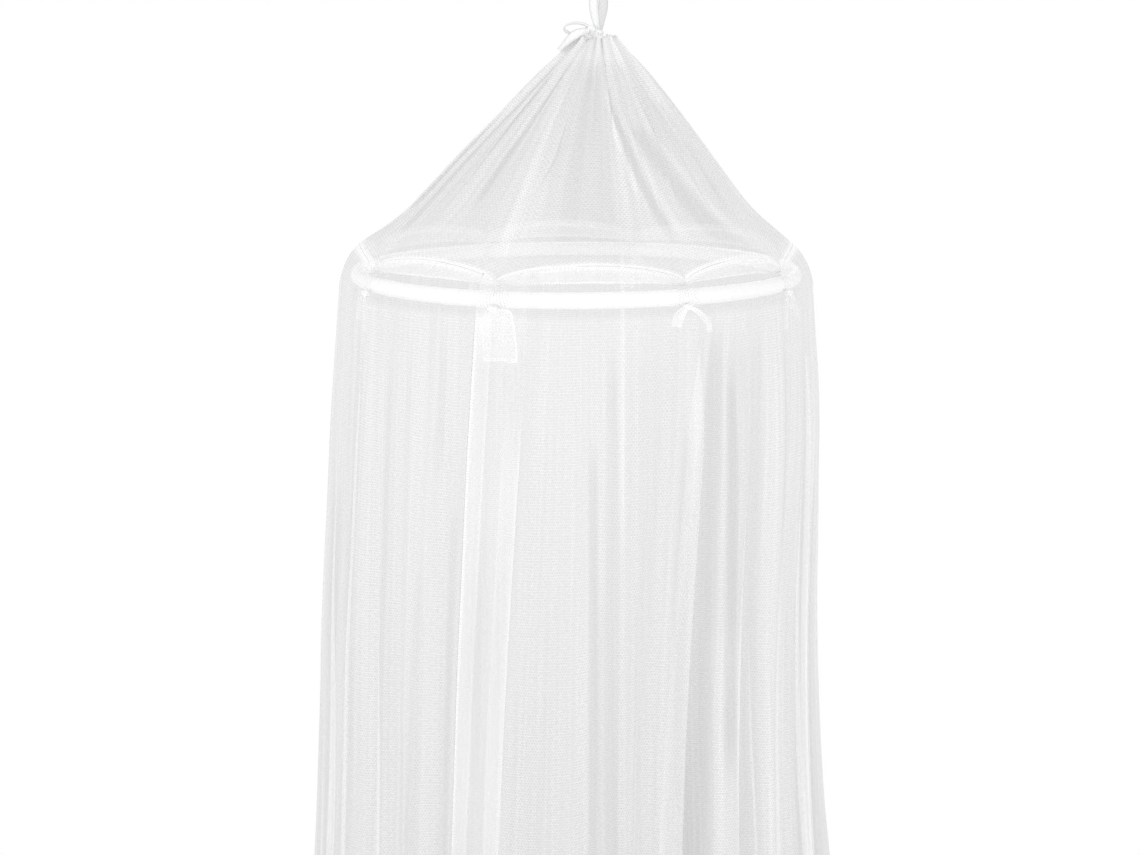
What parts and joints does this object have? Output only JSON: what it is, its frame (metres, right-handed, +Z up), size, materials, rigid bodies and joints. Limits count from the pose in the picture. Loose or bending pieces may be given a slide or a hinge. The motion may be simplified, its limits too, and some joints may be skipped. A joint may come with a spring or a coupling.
{
  "type": "mosquito net canopy with hoop",
  "caption": "Sheer net canopy: a gathered roof over a round hoop tied inside it, with folded side panels that fall to the floor and overlap at the front.",
  "frame": {"origin": "the crown of the hanging loop, where a ceiling hook holds it", "axes": "+Z up, -Y towards the front, where the two panels overlap left of the middle, +X to the right seen from the front"},
  "size_m": [0.9098, 0.917, 2.418],
  "materials": {
    "net": "sheer white knitted net",
    "net_folded": "white knitted net, folded and sewn",
    "tape": "white woven tape",
    "hoop": "smooth white"
  },
  "bodies": {
    "root": {"hanging_tape": "tape", "hoop": "hoop", "hoop_strip": "net_folded", "roof": "net", "skirt_left": "net", "skirt_right": "net", "tie_1": "net_folded", "tie_2": "net_folded", "tie_3": "net_folded", "tie_4": "net_folded", "tie_5": "net_folded", "tie_6": "net_folded", "tie_7": "net_folded", "tie_8": "net_folded"}
  },
  "joints": []
}
